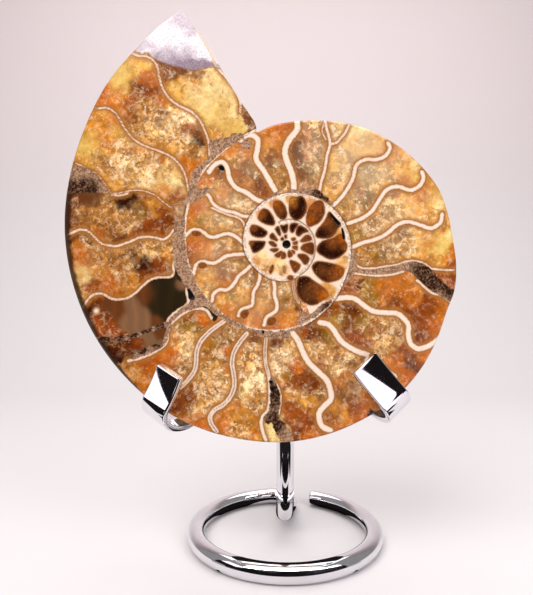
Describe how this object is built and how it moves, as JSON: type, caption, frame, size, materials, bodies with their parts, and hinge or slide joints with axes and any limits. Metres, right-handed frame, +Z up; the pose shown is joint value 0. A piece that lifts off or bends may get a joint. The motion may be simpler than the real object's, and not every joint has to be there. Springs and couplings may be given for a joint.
{
  "type": "ammonite fossil half on stand",
  "caption": "Polished cut half of a coiled ammonite shell, standing upright in a two-hook display stand bent from chrome rod and strip.",
  "frame": {"origin": "middle of the footprint of the whole object, on the surface that the ring stands on", "axes": "+Z up; the polished cut face of the fossil looks along -Y; +X is to the right as seen from the front"},
  "size_m": [0.1158, 0.0726, 0.1692],
  "materials": {
    "polished_fossil": null,
    "chrome": "mirror-bright chrome plate on steel"
  },
  "bodies": {
    "root": {"ammonite_half": "polished_fossil", "stand_rod": "chrome", "stand_cradle": "chrome"}
  },
  "joints": []
}
